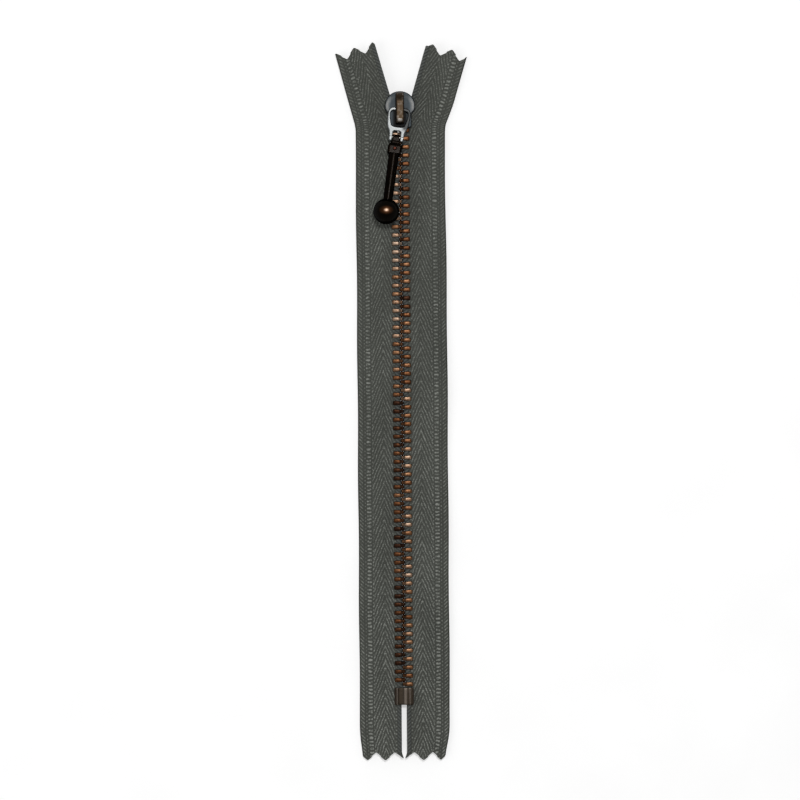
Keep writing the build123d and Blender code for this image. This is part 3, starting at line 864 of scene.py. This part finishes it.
@once
def lock_material():
    return worn_metal("lock_steel", (0.12, 0.11, 0.10), (0.4, 0.38, 0.36),
                      wear=(0.46, 0.56), roughness=(0.38, 0.28))


@once
def rivet_material():
    return worn_metal("rivet_copper", (0.022, 0.008, 0.006), (0.055, 0.018, 0.012),
                      wear=(0.46, 0.56), roughness=(0.45, 0.36))


@once
def ball_material():
    """Almost black, with a painted copper glow and highlight on the ball's upper side where the light's
    reflection falls.
    """
    old_patina = (0.005, 0.004, 0.003)
    thin_patina = (0.008, 0.006, 0.004)
    copper = (0.14, 0.055, 0.023)
    highlight_copper = (0.60, 0.42, 0.30)
    glow_half_width = 2.2
    glow_half_length = 1.4
    s = Shader("ball_bronze", Metallic=1.0, Coat_Weight=0.06, Coat_Roughness=0.18)
    s.shader.inputs["Specular Tint"].default_value = (0.05, 0.04, 0.03, 1)
    centre = (ball_low + ball_high) / 2
    across = s.math("DIVIDE", s.axis(0, centre.x), glow_half_width)
    along = s.math("DIVIDE", s.axis(1, centre.y + 0.3 * MM), glow_half_length)
    away = s.distance(across, along)
    above = s.between(s.axis(2, centre.z), 0.0, 1.0)
    # Painted reflection: a copper glow over the ball's upper side, palest at its middle.
    rubbed = s.math("MULTIPLY", s.between(away, 1.0, 0.15), above)
    ground = s.ramp(s.noise(420, 4.0), (0.3, old_patina), (0.75, thin_patina))
    s.colour(s.mix(rubbed, ground, s.mix(s.between(away, 0.42, 0.08), copper, highlight_copper)))
    s.roughness(s.between(rubbed, 0.0, 1.0, 0.42, 0.46))
    s.bump(s.noise(3000, 2.0), 0.01 * MM, 0.04)
    return s.material


@once
def drop_material():
    """Bronze patinated almost to black, with a trace of lacquer left."""
    old_patina = (0.004, 0.003, 0.0024)
    thin_patina = (0.009, 0.006, 0.004)
    s = Shader("drop_bronze", Metallic=1.0, Coat_Weight=0.02, Coat_Roughness=0.10)
    s.shader.inputs["Specular Tint"].default_value = (0.10, 0.08, 0.06, 1)
    patina = s.noise(420, 4.0)
    s.colour(s.ramp(patina, (0.3, old_patina), (0.75, thin_patina)))
    s.roughness(s.between(patina, 0.3, 0.75, 0.37, 0.43))
    s.bump(s.noise(3000, 2.0), 0.01 * MM, 0.05)
    return s.material


# ================================================================ assembly
def bend_with_stringer(piece):
    """Bakes the piece's placement into its mesh."""
    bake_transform(piece)


def make_stringer(side, word, lowest_tooth):
    """A tape, its bead cord, its row of teeth and its top stop, on the right (side 1) or the left (-1)."""
    tape = make_tape(side, f"{word}_woven_tape")
    cord = make_bead_cord(side, f"{word}_woven_bead")
    teeth = make_teeth(side, lowest_tooth, f"{word}_tooth_row")
    for piece, node, slot in ((tape, "tape", "tape_weave"), (cord, "bead_cord", "bead_cord"),
                              (teeth, "teeth", "tooth_copper")):
        bend_with_stringer(piece)
        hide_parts(f"{word}_{node}")
    stop = soften_node(f"{word}_top_stop", f"{word}_top_stop_crimp", top_stop_material(), voxel_mm=0.08)


def make_slider():
    body = soften_node("slider_body", "slider_casting", slider_material(), voxel_mm=0.11)
    cap = soften_node("bridge_cap", "bridge_shell", cap_material(), voxel_mm=0.08)
    for node in ("locking_pawl", "pawl_spring"):
        finish_node(node, lock_material())


def make_pull():
    clip = soften_node("pull_clip", "pull_clip_casting", clip_material(), voxel_mm=0.07, swell_mm=0.03)
    finish_node("clip_pin", pin_material())
    head = soften_node("drop_head", "drop_head_casting", drop_material(), voxel_mm=0.08)
    finish_node("drop_rivet", rivet_material())
    stem = soften_node("drop_stem", "drop_stem_turning", drop_material(), voxel_mm=0.08, rounds=8,
                       swell_mm=0.14)
    make_ball()


def make_ball():
    """The ball on the drop's end, turned about the drop's own axis, with a small flat at each pole."""
    centre = (ball_low + ball_high) / 2
    radius = (ball_high.z - ball_low.z) / 2
    along = centre - drop_pivot
    steps = 64
    pole = 0.02 * math.pi
    profile = []
    for k in range(steps + 1):
        angle = pole + (math.pi - 2 * pole) * k / steps
        profile.append((-radius * math.cos(angle), radius * math.sin(angle)))
    ball = lathe("drop_ball_turning", centre, along, profile, around=96)
    ball.data.materials.append(ball_material())
    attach(ball, "drop")
    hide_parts("drop_ball")


def finish_node(node, material):
    """A CAD node whose shape is right keeps it, and gets its finish."""
    piece = frame["nodes"][node]
    piece.data.materials.clear()
    piece.data.materials.append(material)
    add_upward(piece.data)


def make_bottom_stop():
    """A folded strip: pressing has raised a crease near each side and a flat band along the middle."""
    crease_height = 0.16
    band_height = 0.10
    stop = soften_node("bottom_stop", "bottom_stop_crimp", stop_material(), voxel_mm=0.09)
    for vertex in stop.data.vertices:
        on_top = smooth_step(0.6 * MM, 1.1 * MM, vertex.co.z - mid_z)
        x = vertex.co.x / MM
        rise = crease_height * math.exp(-((x - left_crease_x) / 0.28) ** 2)
        rise += crease_height * math.exp(-((x - right_crease_x) / 0.24) ** 2)
        rise += band_height * math.exp(-((x - middle_band_x) / 0.55) ** 4)
        vertex.co.z += rise * on_top * MM


# ================================================================ floor, light and camera
def make_floor():
    """White paper, with a little light of its own so that the object's shadow stays faint."""
    half_side = 1.5
    glow = 0.46
    corners = [(-half_side, -half_side, 0), (half_side, -half_side, 0), (half_side, half_side, 0),
               (-half_side, half_side, 0)]
    floor = mesh_object("floor", corners, [(0, 1, 2, 3)])
    s = Shader("floor_paper", Roughness=0.9, Specular_IOR_Level=0.1, Emission_Strength=glow)
    s.shader.inputs["Emission Color"].default_value = (1, 1, 1, 1)
    s.colour(s.ramp(s.noise(40, 2.0), (0.3, (0.86, 0.86, 0.86)), (0.7, (0.90, 0.90, 0.90))))
    floor.data.materials.append(s.material)


def area_light(name, direction, distance, size, power):
    """A round soft box, facing the origin from the given direction."""
    data = bpy.data.lights.new(name, "AREA")
    data.shape = "DISK"
    data.size = size
    data.energy = power
    lamp = bpy.data.objects.new(name, data)
    bpy.context.scene.collection.objects.link(lamp)
    direction = Vector(direction).normalized()
    lamp.location = direction * distance
    lamp.rotation_mode = "QUATERNION"
    lamp.rotation_quaternion = direction.to_track_quat("Z", "Y")
    return lamp


def make_world():
    """A studio with pale walls, which darkens towards a dim ceiling."""
    wall_light = 0.46
    ceiling_light = 0.12
    wall_top = 0.30                         # how steeply upward the wall ends, as a direction's height
    ceiling_start = 0.85
    world = bpy.data.worlds.new("studio")
    world.use_nodes = True
    nodes, links = world.node_tree.nodes, world.node_tree.links
    direction = nodes.new("ShaderNodeSeparateXYZ")
    links.new(nodes.new("ShaderNodeTexCoord").outputs["Generated"], direction.inputs[0])
    strength = nodes.new("ShaderNodeMapRange")
    links.new(direction.outputs["Z"], strength.inputs["Value"])
    strength.inputs["From Min"].default_value = wall_top
    strength.inputs["From Max"].default_value = ceiling_start
    strength.inputs["To Min"].default_value = wall_light
    strength.inputs["To Max"].default_value = ceiling_light
    nodes["Background"].inputs["Color"].default_value = (1, 1, 1, 1)
    links.new(strength.outputs["Result"], nodes["Background"].inputs["Strength"])
    bpy.context.scene.world = world


def make_light():
    make_world()
    area_light("key_light", direction=(0.06, 0.25, 0.97), distance=1.3, size=0.24, power=5.6)
    side_light = area_light("side_light", direction=(-0.8, -0.3, 0.6), distance=1.2, size=0.9, power=2)
    side_light.visible_glossy = False
    bpy.context.scene.view_settings.view_transform = "Standard"


def make_camera():
    """Looking straight down on the chain's middle, from far enough away to flatten it."""
    distance = 1.3
    view_width = 234.6 * MM
    aim = (-0.59 * MM, 0.29 * MM)
    roll = math.radians(-0.41)
    data = bpy.data.cameras.new("camera")
    data.sensor_width = 36
    data.lens = data.sensor_width * distance / view_width
    data.clip_start = 0.05
    data.clip_end = 20
    camera = bpy.data.objects.new("camera", data)
    bpy.context.scene.collection.objects.link(camera)
    camera.location = (*aim, distance + mid_z)
    camera.rotation_euler = (0, 0, roll)
    bpy.context.scene.camera = camera


make_camera()
make_light()
make_floor()
make_stringer(1, "right", right_teeth_low.y + half_leg)
make_stringer(-1, "left", left_teeth_low.y + half_leg)
make_bottom_stop()
make_slider()
make_pull()
